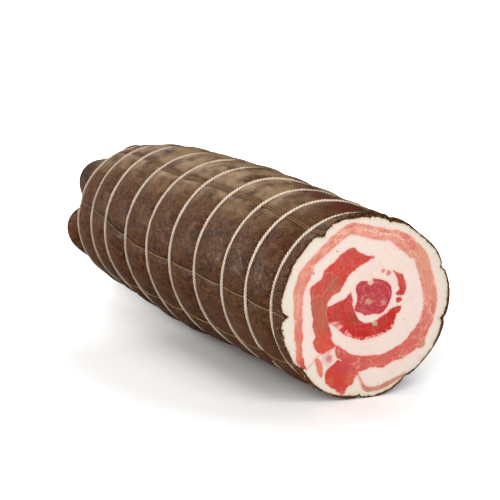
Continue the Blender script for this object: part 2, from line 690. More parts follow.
fat_front = at_station(flat_points, 0, 1)
fat_front[:, 0] -= face_depth(flat_points, "fat")
on_edge = sorted({c for face in owned(["edge"]) for c in face})
fat_front[on_edge, 0] = CUT_X - face_depth(flat_points[on_edge], "edge")
number = {}
for i, source in enumerate(from_points):
    for original in source:
        if original < columns:
            number[i] = original
            body_points[original, 0] = fat_front[i, 0]
offset = pole + 1
number.update({i: offset + i for i in range(len(flat_points)) if i not in number})
for name, slot_index in (("edge", 0), ("fat", 1)):
    for face in owned([name]):
        body_faces.append(tuple(number[c] for c in face))
        body_slots.append(slot_index)
stations = [fat_front] + [at_station(flat_points, back, scale) for back, scale in LEAN_STATIONS[1:]]
body_points = np.vstack([body_points, middle_of_end] + stations)
lean_faces = owned(list(LEAN_OUTLINES))
count = len(flat_points)
for a, b in border(lean_faces):
    for row in range(len(stations) - 1):
        front_a = number[a] if row == 0 else offset + row * count + a
        front_b = number[b] if row == 0 else offset + row * count + b
        body_faces.append((front_a, front_b, offset + (row + 1) * count + b, offset + (row + 1) * count + a))
        body_slots.append(1)
for a, b, c in lean_faces:
    back = offset + (len(stations) - 1) * count
    body_faces.append((a + back, b + back, c + back))
    body_slots.append(1)
used = np.unique(np.concatenate([np.array(face) for face in body_faces]))
renumber = np.full(len(body_points), -1)
renumber[used] = np.arange(len(used))
body_faces = [tuple(int(renumber[c]) for c in face) for face in body_faces]
body = mesh_object("casing_and_fat", body_points[used], body_faces, body_slots)
finish_piece(body, "casing", "fat_roll")

# %% [markdown]
# ## Twine
# Butcher's twine is three yarns twisted together. Its cross-section is a rounded triangle of three yarns that
# turns along the string, which gives the rope look close up and a soft ribbed edge from afar. A round string
# is a closed loop; a lengthwise one runs from the cut over the far end and back.

# %% Twine meshes
YARNS = 2
TWIST_LENGTH = 4.8
ROUND_SIDES = 12
ROUND_STEP = 0.36
LENGTH_SIDES = 9
LENGTH_STEP = 0.6


def even_path(path, outs, step, closed):
    """The same path with points an even step apart."""
    if closed:
        path = np.vstack([path, path[:1]])
        outs = np.vstack([outs, outs[:1]])
    lengths = np.concatenate([[0], np.cumsum(np.linalg.norm(np.diff(path, axis=0), axis=1))])
    at = np.linspace(0, lengths[-1], int(lengths[-1] / step), endpoint=not closed)
    path = np.stack([np.interp(at, lengths, path[:, i]) for i in range(3)], -1)
    outs = np.stack([np.interp(at, lengths, outs[:, i]) for i in range(3)], -1)
    return path, outs, at, lengths[-1]


def twine(path, outs, width, closed, sides, step):
    """Points, faces and yarn heights of a twisted twine along a path; outs point away from the roll."""
    path, outs, at, length = even_path(np.asarray(path), np.asarray(outs), step, closed)
    if closed:
        tangent = np.roll(path, -1, 0) - np.roll(path, 1, 0)
    else:
        tangent = np.gradient(path, axis=0)
    tangent /= np.linalg.norm(tangent, axis=1, keepdims=True)
    side = np.cross(outs, tangent)
    side /= np.linalg.norm(side, axis=1, keepdims=True)
    up = np.cross(tangent, side)
    turns = round(length / TWIST_LENGTH)
    around = np.arange(sides) / sides * 2 * math.pi
    twist = at[:, None] / length * turns * 2 * math.pi
    yarn = np.cos(YARNS * (around[None] - twist))
    uneven = 1 + 0.1 * noise(np.column_stack([at, 0 * at, 0 * at]), 6, 41)
    uneven += 0.07 * noise(np.column_stack([at, 0 * at, 0 * at]), 1.8, 43)
    thick = width / 2 * (0.8 + 0.22 * yarn) * uneven[:, None]
    ring = (path[:, None] + (thick * np.cos(around))[..., None] * up[:, None]
            + (thick * np.sin(around))[..., None] * side[:, None])
    count = len(path)
    faces = []
    for i in range(count if closed else count - 1):
        j = (i + 1) % count
        for k in range(sides):
            m = (k + 1) % sides
            faces.append((i * sides + k, i * sides + m, j * sides + m, j * sides + k))
    if not closed:
        faces.append(tuple(range(sides))[::-1])
        faces.append(tuple((count - 1) * sides + k for k in range(sides)))
    return np.clip(ring.reshape(-1, 3), box_low + INSIDE, box_high - INSIDE), faces, yarn.ravel()


def outward_at(angle):
    """Direction away from the roll's axis."""
    a = np.radians(np.asarray(angle, float))
    return np.stack([0 * a, np.cos(a), np.sin(a)], -1)


def store(obj, name, values):
    """Keeps one number per point on the mesh, for a finish to read."""
    attribute = obj.data.attributes.new(name, "FLOAT", "POINT")
    attribute.data.foreach_set("value", np.asarray(values, np.float32))


# %% [markdown]
# ## Round strings
# Each round string is one closed loop. It strays a little from a true circle, and the second one dives under
# the skin low on the left side, where a fold of the casing has closed over it.

# %% Round twine
RING_DIPS = {0: (216, 30, 0.8), 1: (221, 6, 1.7), len(ROUND_STRINGS) - 1: (166, 6, 0.9)}

ROUND_WIDTH = 2.35
FAR_WIDTH = 2.2

ring_pieces = []
for index, (ring_back, ring_radius) in enumerate(ROUND_STRINGS):
    angles = np.linspace(0, 360, 720, endpoint=False)
    backs = np.full_like(angles, ring_back)
    radii = level(backs, angles) + 0.12 * noise(np.column_stack([angles / 4, backs, 0 * backs]), 4, 42)
    dip_angle, dip_reach, dip_depth = RING_DIPS.get(index, (0, 1, 0))
    radii = radii - dip_depth * np.exp(-((turn(angles - dip_angle) / dip_reach) ** 4))
    path = place(backs + wander(backs, angles), angles, radii)
    width = ROUND_WIDTH + (FAR_WIDTH - ROUND_WIDTH) * ring_back / LAST
    path[:, 2] = np.maximum(path[:, 2], width / 2 + 0.1)
    points, faces, yarn = twine(path, outward_at(angles), width, True, ROUND_SIDES, ROUND_STEP)
    ring = mesh_object(f"round_twine_{index + 1:02d}", points, faces)
    store(ring, "yarn", yarn)
    finish_piece(ring, "twine", f"round_string_{index + 1:02d}")
    ring_pieces.append(ring)

# %% [markdown]
# ## Lengthwise strings
# Eight strings run from the cut to the far end, where they cross. The one at the upper left is a pair that lies
# side by side. All of them are thinner than the round ones, because they are stretched flat into the casing.

# %% Lengthwise twine
PAIR_WIDTH = 1.4
TURN_IN = 0.15
OVER_END = 0.9


def lengthwise_path(index, aside):
    """Path and outward directions of a lengthwise string, moved aside by some millimetres."""
    backs = np.linspace(0.6, LAST, 500)
    angles = string_angle(index, backs) + np.degrees(aside / tied_radius(backs))
    path = place(backs, angles, string_level(backs, angles))
    t = np.linspace(0.03, 0.995, 60)
    end_angle = np.full_like(t, angles[-1])
    end_back = LAST + DOME * (1 - (1 - t) ** 2) + OVER_END * ease(t / TURN_IN) + 0.3
    end_path = place(end_back, end_angle, string_level(np.full_like(t, LAST), end_angle) * (1 - t))
    blend = ease(t / TURN_IN)[:, None]
    end_outs = outward_at(end_angle) * (1 - blend) + np.array([-1.0, 0, 0]) * blend
    return np.vstack([path, end_path]), np.vstack([outward_at(angles), end_outs])


all_points = []
all_faces = []
all_yarn = []
all_pair = []
for index in range(len(LENGTH_STRINGS)):
    paired = index == DOUBLE_STRING
    for aside in ((-DOUBLE_SPREAD, DOUBLE_SPREAD) if paired else (0.0,)):
        path, outs = lengthwise_path(index, aside)
        width = PAIR_WIDTH if paired else LENGTH_STRING
        points, faces, yarn = twine(path, outs, width, False, LENGTH_SIDES, LENGTH_STEP)
        first = sum(len(p) for p in all_points)
        all_faces += [tuple(c + first for c in face) for face in faces]
        all_points.append(points)
        all_yarn.append(yarn)
        all_pair.append(np.full(len(points), float(paired)))
length_twine = mesh_object("lengthwise_twine", np.vstack(all_points), all_faces)
store(length_twine, "yarn", np.concatenate(all_yarn))
store(length_twine, "pair", np.concatenate(all_pair))
finish_piece(length_twine, "twine", "lengthwise_strings")

# %% [markdown]
# ## Crumbs and torn ends round the cut
# The knife tears the dry casing: dark crumbs cling to the rim, most of them on top and at the left, and the
# ends of the lengthwise strings and of the skin stay behind as curled fibres. Each crumb is a small uneven
# ball, each fibre a thin tube, and a shade stored on the mesh runs from nearly black to beige.

# %% Crumbs
CRUMBS = 520
CRUMB_PLACES = [(90, 17, 0.42, 0.25), (150, 22, 0.2, 0.35), (200, 22, 0.16, 0.6), (355, 30, 0.14, 0.35),
                (280, 30, 0.08, 0.4)]
ON_FACE = 0.6
draw = np.random.default_rng(7)
ball = bmesh.new()
bmesh.ops.create_icosphere(ball, subdivisions=1, radius=1)
ball_points = np.array([tuple(vertex.co) for vertex in ball.verts])
ball_faces = [[vertex.index for vertex in face.verts] for face in ball.faces]
ball.free()
order = np.argsort(rim_angle)


def rim_radius(angle):
    """Radius of the cut's rim at an angle."""
    return np.interp(angle % 360, rim_angle[order], np.linalg.norm(rim, axis=1)[order], period=360)


bit_points, bit_faces, bit_shades = [], [], []


def keep_bit(points, faces, shade):
    """Adds one crumb or fibre, held inside the box of the solids."""
    first = sum(len(kept) for kept in bit_points)
    bit_points.append(np.clip(points, box_low + INSIDE, box_high - INSIDE))
    bit_faces.extend([[corner + first for corner in face] for face in faces])
    bit_shades.append(np.full(len(points), shade))


for number_of_crumb in range(CRUMBS):
    angle, spread, share, shade = CRUMB_PLACES[draw.choice(len(CRUMB_PLACES), p=[z[2] for z in CRUMB_PLACES])]
    angle = angle + spread * draw.normal()
    size = draw.uniform(0.22, 0.62)
    if draw.random() < ON_FACE:
        back = FACE_SINK
        radius = rim_radius(angle) - abs(draw.normal()) * 0.9
    else:
        back = 1 + abs(draw.normal()) * 4.5
        radius = float(casing_radius(np.array([back]), np.array([angle]))[0]) + 0.1
    middle = place(np.array([back]), np.array([angle]), np.array([radius]))[0]
    points = middle + ball_points * draw.uniform(0.6, 1.3, (len(ball_points), 1)) * size
    keep_bit(points, ball_faces, np.clip(draw.normal(shade, 0.3), 0, 1))

# %% Fibres
TUFTS = [(122.5, 16, 4.5), (181, 14, 4.0), (217, 18, 4.5), (74, 5, 2.5), (21, 4, 2.5), (264, 5, 2.5),
         (299, 4, 2.5), (346, 6, 3.0), (160, 8, 3.0), (196, 10, 3.5), (95, 10, 3.0)]
FIBRE_SIDES = 4
FIBRE_STEPS = 8


def fibre(start, heading, length, thickness):
    """A thin curled tube that tapers to its end."""
    path = [start]
    heading = heading / np.linalg.norm(heading)
    for step in range(FIBRE_STEPS - 1):
        path.append(path[-1] + heading * length / FIBRE_STEPS)
        heading = heading + 0.45 * draw.normal(size=3)
        heading /= np.linalg.norm(heading)
    path = np.array(path)
    along = np.gradient(path, axis=0)
    side = np.cross(along, [0.3, 0.5, 0.8])
    side /= np.linalg.norm(side, axis=1, keepdims=True)
    up = np.cross(along / np.linalg.norm(along, axis=1, keepdims=True), side)
    thick = thickness * np.linspace(1, 0.4, FIBRE_STEPS)
    around = np.arange(FIBRE_SIDES) / FIBRE_SIDES * 2 * math.pi
    points = (path[:, None] + (thick[:, None] * np.cos(around))[..., None] * side[:, None]
              + (thick[:, None] * np.sin(around))[..., None] * up[:, None]).reshape(-1, 3)
    faces = [[i * FIBRE_SIDES + k, i * FIBRE_SIDES + (k + 1) % FIBRE_SIDES,
              (i + 1) * FIBRE_SIDES + (k + 1) % FIBRE_SIDES, (i + 1) * FIBRE_SIDES + k]
             for i in range(FIBRE_STEPS - 1) for k in range(FIBRE_SIDES)]
    faces.append(list(range(FIBRE_SIDES))[::-1])
    faces.append([(FIBRE_STEPS - 1) * FIBRE_SIDES + k for k in range(FIBRE_SIDES)])
    return points, faces


for angle, count_here, length in TUFTS:
    for number_of_fibre in range(count_here):
        at_angle = angle + draw.normal() * 1.6
        start = place(np.array([FACE_SINK]), np.array([at_angle]), np.array([rim_radius(at_angle) - 0.4]))[0]
        around_rim = np.array([0, -math.sin(math.radians(at_angle)), math.cos(math.radians(at_angle))])
        heading = (around_rim * draw.normal() + outward_at(at_angle) * draw.uniform(-0.9, 0.3)
                   + np.array([0.3 * draw.normal(), 0, 0]))
        points, faces = fibre(start, heading, length * draw.uniform(0.5, 1.1), draw.uniform(0.13, 0.24))
        keep_bit(points, faces, draw.uniform(0.35, 0.9))
rim_bits = mesh_object("rim_crumbs", np.vstack(bit_points), bit_faces)
store(rim_bits, "shade", np.concatenate(bit_shades))
finish_piece(rim_bits, "casing")

# %% [markdown]
# ## Shader helpers
# Every finish below is made of shader nodes only. Colours are given as the eye sees them, from 0 to 255, and
# turned into the linear numbers a shader needs. Effects that several finishes share are node groups.

# %% Colours and nodes


def seen(red, green, blue):
    """A shader colour from numbers of 0 to 255 as the eye sees them."""
    shares = np.array([red, green, blue]) / 255
    linear = np.where(shares <= 0.04045, shares / 12.92, ((shares + 0.055) / 1.055) ** 2.4)
    return (*linear.tolist(), 1.0)


def node(tree, kind, inputs=None, **settings):
    """Adds a node with its settings, and sets or wires its inputs."""
    made = tree.nodes.new(kind)
    for name, value in settings.items():
        setattr(made, name, value)
    for name, value in (inputs or {}).items():
        if isinstance(value, bpy.types.NodeSocket):
            tree.links.new(value, made.inputs[name])
        else:
            made.inputs[name].default_value = value
    return made


def start_group(name, values):
    """A shader group with a Vector input and an input with a default for each number or vector given."""
    tree = bpy.data.node_groups.new(name, "ShaderNodeTree")
    tree.interface.new_socket("Vector", in_out="INPUT", socket_type="NodeSocketVector")
    for label, value in values.items():
        kind = "NodeSocketVector" if isinstance(value, tuple) else "NodeSocketFloat"
        tree.interface.new_socket(label, in_out="INPUT", socket_type=kind).default_value = value
    return tree, tree.nodes.new("NodeGroupInput").outputs


def end_group(tree, **results):
    """Gives the group one output for each named result."""
    for label in results:
        tree.interface.new_socket(label, in_out="OUTPUT", socket_type="NodeSocketFloat")
    output = tree.nodes.new("NodeGroupOutput")
    for label, socket in results.items():
        tree.links.new(socket, output.inputs[label])


def math_node(tree, operation, *values):
    """A maths step in a shader."""
    return node(tree, "ShaderNodeMath", dict(enumerate(values)), operation=operation).outputs[0]


# %% [markdown]
# ## Shared effects
# Mottle is a soft patchy mask. Veins are thin wandering lines that come and go, as connective tissue does in
# meat and creases do in skin. Specks are a few round grains. Bundles are the cells of muscle inside a layer,
# with pale tissue between them. A blot is one ragged spot at a known place. Sizes are in metres, so they stay
# true to scale.

# %% Mottle group
mottle_group, inside = start_group("mottle", {"Size": 0.01, "Detail": 3.0, "Low": 0.4, "High": 0.6})
patches = node(mottle_group, "ShaderNodeTexNoise",
               {"Vector": inside["Vector"], "Scale": math_node(mottle_group, "DIVIDE", 1.0, inside["Size"]),
                "Detail": inside["Detail"]})
spread = node(mottle_group, "ShaderNodeMapRange",
              {"Value": patches.outputs["Fac"], "From Min": inside["Low"], "From Max": inside["High"]},
              interpolation_type="SMOOTHSTEP")
end_group(mottle_group, Mask=spread.outputs["Result"])

# %% Vein group
vein_group, inside = start_group("veins", {"Size": 0.01, "Width": 0.02, "Share": 0.5})
paths = node(vein_group, "ShaderNodeTexNoise",
             {"Vector": inside["Vector"], "Scale": math_node(vein_group, "DIVIDE", 1.0, inside["Size"]),
              "Detail": 2.5, "Distortion": 0.6})
distance = math_node(vein_group, "ABSOLUTE", math_node(vein_group, "SUBTRACT", paths.outputs["Fac"], 0.5))
line = node(vein_group, "ShaderNodeMapRange",
            {"Value": distance, "From Min": 0.0, "From Max": inside["Width"], "To Min": 1.0, "To Max": 0.0},
            interpolation_type="SMOOTHSTEP")
edge_low = math_node(vein_group, "SUBTRACT", 0.75, inside["Share"])
here = node(vein_group, "ShaderNodeGroup",
            {"Vector": inside["Vector"]}, node_tree=mottle_group)
for label, value in (("Size", math_node(vein_group, "MULTIPLY", inside["Size"], 1.3)), ("Low", edge_low),
                     ("High", math_node(vein_group, "ADD", edge_low, 0.12))):
    vein_group.links.new(value, here.inputs[label])
here.inputs["Detail"].default_value = 2.0
end_group(vein_group, Mask=math_node(vein_group, "MULTIPLY", line.outputs["Result"], here.outputs["Mask"]))

# %% Speck group
speck_group, inside = start_group("specks", {"Size": 0.006, "Radius": 0.08, "Share": 0.2})
cells = node(speck_group, "ShaderNodeTexVoronoi",
             {"Vector": inside["Vector"], "Scale": math_node(speck_group, "DIVIDE", 1.0, inside["Size"])})
dot = math_node(speck_group, "LESS_THAN", cells.outputs["Distance"], inside["Radius"])
draw = node(speck_group, "ShaderNodeSeparateColor", {"Color": cells.outputs["Color"]})
chosen = math_node(speck_group, "LESS_THAN", draw.outputs["Red"], inside["Share"])
end_group(speck_group, Mask=math_node(speck_group, "MULTIPLY", dot, chosen))

# %% Bundle group
bundle_group, inside = start_group("bundles", {"Size": 0.005, "Width": 0.08})
per_metre = math_node(bundle_group, "DIVIDE", 1.0, inside["Size"])
wobble = node(bundle_group, "ShaderNodeTexNoise", {"Vector": inside["Vector"], "Scale": per_metre, "Detail": 3.0})
centred = node(bundle_group, "ShaderNodeVectorMath", {0: wobble.outputs["Color"], 1: (0.5, 0.5, 0.5)},
               operation="SUBTRACT").outputs[0]
shift = node(bundle_group, "ShaderNodeVectorMath", {0: centred, "Scale": inside["Size"]}, operation="SCALE")
bent = node(bundle_group, "ShaderNodeVectorMath", {0: inside["Vector"], 1: shift.outputs[0]}, operation="ADD")
borders = node(bundle_group, "ShaderNodeTexVoronoi", {"Vector": bent.outputs[0], "Scale": per_metre},
               feature="DISTANCE_TO_EDGE")
line = node(bundle_group, "ShaderNodeMapRange",
            {"Value": borders.outputs["Distance"], "From Min": 0.0, "From Max": inside["Width"],
             "To Min": 1.0, "To Max": 0.0}, interpolation_type="SMOOTHSTEP")
cells = node(bundle_group, "ShaderNodeTexVoronoi", {"Vector": bent.outputs[0], "Scale": per_metre})
tone = node(bundle_group, "ShaderNodeSeparateColor", {"Color": cells.outputs["Color"]})
end_group(bundle_group, Mask=line.outputs["Result"], Tone=tone.outputs["Red"])

# %% Blot group
blot_group, inside = start_group("blot", {"Centre": (0.0, 0.0, 0.0), "Axes": (0.0, 1.0, 1.0), "Size": 0.003,
                                          "Ragged": 0.8, "Soft": 0.25})
offset = node(blot_group, "ShaderNodeVectorMath", {0: inside["Vector"], 1: inside["Centre"]},
              operation="SUBTRACT").outputs[0]
flat = node(blot_group, "ShaderNodeVectorMath", {0: offset, 1: inside["Axes"]}, operation="MULTIPLY").outputs[0]
reach = node(blot_group, "ShaderNodeVectorMath", {0: flat}, operation="LENGTH").outputs["Value"]
grain = node(blot_group, "ShaderNodeTexNoise",
             {"Vector": inside["Vector"], "Detail": 4.0,
              "Scale": math_node(blot_group, "DIVIDE", 1.5, inside["Size"])})
push = math_node(blot_group, "MULTIPLY", math_node(blot_group, "SUBTRACT", grain.outputs["Fac"], 0.5),
                 math_node(blot_group, "MULTIPLY", inside["Ragged"], 2.0))
spread = node(blot_group, "ShaderNodeMapRange",
              {"Value": math_node(blot_group, "ADD", math_node(blot_group, "DIVIDE", reach, inside["Size"]), push),
               "From Min": math_node(blot_group, "ADD", 1.0, inside["Soft"]),
               "From Max": math_node(blot_group, "SUBTRACT", 1.0, inside["Soft"])},
              interpolation_type="SMOOTHSTEP")
end_group(blot_group, Mask=spread.outputs["Result"])

# %% Seam group
seam_group, inside = start_group("seam", {"Start": (0.0, 0.0, 0.0), "Run": (0.0, 1.0, 0.0), "Size": 0.0005})
offset = node(seam_group, "ShaderNodeVectorMath", {0: inside["Vector"], 1: inside["Start"]},
              operation="SUBTRACT").outputs[0]
flat = node(seam_group, "ShaderNodeVectorMath", {0: offset, 1: (0.0, 1.0, 1.0)}, operation="MULTIPLY").outputs[0]
onto = node(seam_group, "ShaderNodeVectorMath", {0: flat, 1: inside["Run"]}, operation="DOT_PRODUCT")
square = node(seam_group, "ShaderNodeVectorMath", {0: inside["Run"], 1: inside["Run"]}, operation="DOT_PRODUCT")
part = math_node(seam_group, "DIVIDE", onto.outputs["Value"], square.outputs["Value"])
part = math_node(seam_group, "MINIMUM", math_node(seam_group, "MAXIMUM", part, 0.0), 1.0)
nearest = node(seam_group, "ShaderNodeVectorMath", {0: inside["Run"], "Scale": part}, operation="SCALE").outputs[0]
gap = node(seam_group, "ShaderNodeVectorMath", {0: flat, 1: nearest}, operation="DISTANCE").outputs["Value"]
waver = node(seam_group, "ShaderNodeTexNoise",
             {"Vector": inside["Vector"], "Detail": 2.0,
              "Scale": math_node(seam_group, "DIVIDE", 0.4, inside["Size"])})
widths = math_node(seam_group, "ADD", math_node(seam_group, "DIVIDE", gap, inside["Size"]), waver.outputs["Fac"])
thin = node(seam_group, "ShaderNodeMapRange", {"Value": widths, "From Min": 1.6, "From Max": 0.8},
            interpolation_type="SMOOTHSTEP")
end_group(seam_group, Mask=thin.outputs["Result"])
print("shared effects:", [group.name for group in bpy.data.node_groups])


class Finish:
    """A material under construction: a running colour that layers are laid over."""

    def __init__(self, name, colour):
        self.material = bpy.data.materials.new(name)
        self.material.use_nodes = True
        self.tree = self.material.node_tree
        self.shader = self.tree.nodes["Principled BSDF"]
        self.colour = node(self.tree, "ShaderNodeRGB").outputs[0]
        self.colour.default_value = colour
        self.vector = node(self.tree, "ShaderNodeTexCoord").outputs["Object"]
        self.height = None

    def stretched(self, x, y, z, vector=None):
        """The surface's coordinates, multiplied along each axis."""
        return node(self.tree, "ShaderNodeVectorMath", {0: vector or self.vector, 1: (x, y, z)},
                    operation="MULTIPLY").outputs[0]

    def effect(self, group, vector=None, **values):
        """The outputs of a shared effect."""
        inputs = {"Vector": vector or self.vector}
        inputs.update({label.title(): value for label, value in values.items()})
        return node(self.tree, "ShaderNodeGroup", inputs, node_tree=group).outputs

    def mask(self, group, vector=None, **values):
        """The mask of a shared effect."""
        return self.effect(group, vector, **values)["Mask"]

    def plus(self, one, other):
        """Sum of two masks or numbers."""
        return math_node(self.tree, "ADD", one, other)

    def spot(self, y, z, radius, ragged=0.8, soft=0.25):
        """A ragged spot on the cut, placed in millimetres from its middle."""
        centre = (CUT_X * MM, (MIDDLE_Y + y) * MM, (CUT_AXIS + z) * MM)
        return self.mask(blot_group, centre=centre, size=radius * MM, ragged=ragged, soft=soft)

    def patch(self, x, y, z, radius):
        """A soft ragged patch round a place on the roll, in millimetres."""
        return self.mask(blot_group, centre=(x * MM, y * MM, z * MM), axes=(1.0, 1.0, 1.0), size=radius * MM,
                         ragged=0.9, soft=0.5)

    def seam(self, start, end, size):
        """A thin wavering line on the cut between two places, in millimetres from its middle."""
        run = (0.0, (end[0] - start[0]) * MM, (end[1] - start[1]) * MM)
        at = (0.0, (MIDDLE_Y + start[0]) * MM, (CUT_AXIS + start[1]) * MM)
        return self.mask(seam_group, start=at, run=run, size=size * MM)

    def times(self, one, other):
        """Product of two masks or numbers."""
        return math_node(self.tree, "MULTIPLY", one, other)

    def ramp(self, value, low, high, to_low=0.0, to_high=1.0):
        """A smooth change of a value from one range to another."""
        return node(self.tree, "ShaderNodeMapRange",
                    {"Value": value, "From Min": low, "From Max": high, "To Min": to_low, "To Max": to_high},
                    interpolation_type="SMOOTHSTEP").outputs["Result"]

    def attribute(self, name):
        """A number stored on the mesh."""
        return node(self.tree, "ShaderNodeAttribute", attribute_name=name).outputs["Fac"]

    def lay(self, mask, colour, strength=1.0, blend="MIX"):
        """Lays a colour over the running colour where the mask is high."""
        mixed = node(self.tree, "ShaderNodeMix", data_type="RGBA", blend_type=blend)
        self.tree.links.new(self.times(mask, strength), mixed.inputs[0])
        self.tree.links.new(self.colour, mixed.inputs[6])
        mixed.inputs[7].default_value = colour
        self.colour = mixed.outputs[2]

    def raise_by(self, mask, amount):
        """Adds relief of the given height, in millimetres."""
        part = self.times(mask, amount * MM)
        if self.height is None:
            self.height = part
        else:
            self.height = self.plus(self.height, part)

    def done(self, roughness, **settings):
        """Wires colour, relief, roughness and other settings to the shader."""
        self.tree.links.new(self.colour, self.shader.inputs["Base Color"])
        if self.height is not None:
            bump = node(self.tree, "ShaderNodeBump", {"Height": self.height, "Strength": 1.0, "Distance": 1.0})
            self.tree.links.new(bump.outputs["Normal"], self.shader.inputs["Normal"])
        settings["Roughness"] = roughness
        for label, value in settings.items():
            socket = self.shader.inputs[label.replace("_", " ")]
            if isinstance(value, bpy.types.NodeSocket):
                self.tree.links.new(value, socket)
            else:
                socket.default_value = value
        return self.material


# %% [markdown]
# ## Dried casing
# The casing is natural skin, dried to a dull brown leather over the dark meat below. Reddish, olive and nearly
# black patches drift over it, a pale bloom lies on its upper side, and dirt gathers along the strings. The
# distance to the strings is stored on the mesh, so the shader knows where the grooves are.

# %% Casing finish
near_ring = np.zeros(grid.shape[:2])
near_line = np.zeros(grid.shape[:2])
near_ring[: len(side_points)] = np.exp(-ring_distance / 1.8)
near_line[: len(side_points)] = np.exp(-line_distance / 1.5)
end_line = groove_distance(np.full_like(end_angles, LAST), end_angles, end_radii)
near_line[len(side_points):] = np.exp(-end_line / 1.5)
for label, share in (("near_ring", near_ring), ("near_line", near_line)):
    on_body = np.zeros(len(body_points))
    on_body[: share.size] = share.ravel()
    store(body, label, on_body[used])

casing = Finish("dried_casing", seen(88, 50, 28))
drawn_out = casing.stretched(0.5, 1, 1)
casing.lay(casing.mask(mottle_group, drawn_out, size=0.022, detail=4.0, low=0.46, high=0.62), seen(99, 67, 36), 0.6)
casing.lay(casing.mask(mottle_group, casing.stretched(0.6, 1.1, 1.1), size=0.017, detail=4.0, low=0.5, high=0.64),
           seen(79, 38, 26), 0.55)
casing.lay(casing.mask(mottle_group, casing.stretched(0.45, 1, 1.1), size=0.011, detail=5.0, low=0.5, high=0.64),
           seen(50, 31, 22), 0.55)
casing.lay(casing.mask(mottle_group, casing.stretched(0.5, 1.1, 1), size=0.0042, detail=4.0, low=0.5, high=0.66),
           seen(118, 82, 44), 0.55)
casing.lay(casing.mask(mottle_group, drawn_out, size=0.0027, detail=4.0, low=0.5, high=0.64), seen(40, 23, 16), 0.6)
casing.lay(casing.mask(mottle_group, casing.stretched(0.6, 1, 1.1), size=0.0016, detail=3.0, low=0.54, high=0.68),
           seen(132, 96, 62), 0.5)
facing = node(casing.tree, "ShaderNodeNewGeometry").outputs["Normal"]
upward = node(casing.tree, "ShaderNodeSeparateXYZ", {0: facing}).outputs["Z"]
forward_place = node(casing.tree, "ShaderNodeSeparateXYZ", {0: casing.vector}).outputs["X"]
bloom = casing.times(casing.ramp(upward, 0.52, 0.99),
                     casing.mask(mottle_group, casing.stretched(0.7, 1, 1), size=0.014, detail=6.0, low=0.32,
                                 high=0.62))
bloom = casing.times(bloom, casing.times(casing.ramp(forward_place, 0.175, 0.11, 0.1, 1.0),
                                         casing.ramp(forward_place, -0.195, -0.17, 0.2, 1.0)))
casing.lay(bloom, seen(182, 151, 113), 0.7)
for x, y, z, radius in ((170, -1, 130, 12), (138, -3, 129, 8), (61, -10, 129, 7)):
    casing.lay(casing.patch(x, y, z, radius), seen(98, 42, 28), 0.75)
for x, y, z, radius in ((182, -46, 109, 9), (187, -55, 98, 7), (150, -48, 108, 8)):
    casing.lay(casing.patch(x, y, z, radius), seen(78, 32, 24), 0.5)
tucked = casing.times(casing.ramp(upward, 0.0, 0.7), casing.ramp(forward_place, -0.17, -0.19))
casing.lay(tucked, seen(48, 29, 19), 0.8)
worn = casing.times(casing.ramp(upward, -0.05, -0.5), casing.ramp(forward_place, 0.05, 0.13))
casing.lay(worn, seen(122, 78, 56), 0.45)
casing.lay(casing.attribute("near_ring"), seen(40, 25, 17), 0.6)
casing.lay(casing.attribute("near_line"), seen(46, 29, 20), 0.4)
casing.raise_by(casing.mask(mottle_group, drawn_out, size=0.0014, detail=4.0, low=0.3, high=0.7), 0.04)
casing.raise_by(casing.mask(mottle_group, casing.stretched(0.7, 1, 1), size=0.005, detail=4.0, low=0.3, high=0.7),
                0.14)
casing_rough = casing.ramp(casing.mask(mottle_group, size=0.005, detail=5.0, low=0.3, high=0.7), 0, 1, 0.35, 0.5)
casing_rough = casing.plus(casing_rough, casing.ramp(upward, 0.2, 0.8, 0.0, 0.2))
casing_coat = casing.ramp(casing.mask(mottle_group, drawn_out, size=0.003, detail=5.0, low=0.44, high=0.66),
                          0, 1, 0.002, 0.06)
casing_coat = casing.times(casing_coat, casing.ramp(forward_place, 0.04, 0.13, 0.12, 1.0))
casing_coat = casing.times(casing_coat, casing.ramp(upward, 0.85, 0.4, 0.15, 1.0))
dried_casing = casing.done(casing_rough, Specular_IOR_Level=0.03, Specular_Tint=seen(255, 232, 206),
                           Coat_Weight=casing_coat, Coat_Roughness=0.24)

# %% [markdown]
# ## Places on the cut
# Fat and lean grade into each other on a real cut: lean pales towards its border and tints the fat beside it.
# The distance to the nearest border is therefore measured for every point of the cut and stored on the mesh,
# and so is the distance to the brown rim.

# %% Distances on the cut
FRONT_DEPTH = 2.5


def across(obj):
    """How far behind the cut each point of a piece lies, and its place across the roll, in millimetres."""
    flat = np.empty(len(obj.data.vertices) * 3)
    obj.data.vertices.foreach_get("co", flat)
    flat = flat.reshape(-1, 3) / MM
    return CUT_X - flat[:, 0], flat[:, 1:] - [MIDDLE_Y, CUT_AXIS]


def nearest(behind, places, targets):
    """Distance from each point of the front to the nearest target, and 0 behind the front."""
    found = np.zeros(len(places))
    for i in np.flatnonzero(behind < FRONT_DEPTH):
        found[i] = np.sqrt(((targets - places[i]) ** 2).sum(1).min())
    return found


def border_points(names):
    """Points along the border of the named layers."""
    return flat_points[sorted({corner for edge in border(owned(names)) for corner in edge})]


body_behind, body_places = across(body)
store(body, "lean_near", nearest(body_behind, body_places, border_points(list(LEAN_OUTLINES))))
store(body, "rim_near", nearest(body_behind, body_places, fat_edge))
for name, piece in lean_pieces.items():
    store(piece, "border_near", nearest(*across(piece), border_points([name])))
print("widest lean, from its border:", round(float(nearest(*across(lean_pieces["lean_middle"]),
                                                           border_points(["lean_middle"])).max()), 1), "mm")

# %% [markdown]
# ## Fat
# Cured fat is dense, cream-white and slightly see-through, so light spreads a little inside it. It is pinker
# in the middle of the roll and whiter near the casing. Lean tints the fat beside it, threads and crumbs of
# lean stay in it, and it turns amber where it has dried against the casing.

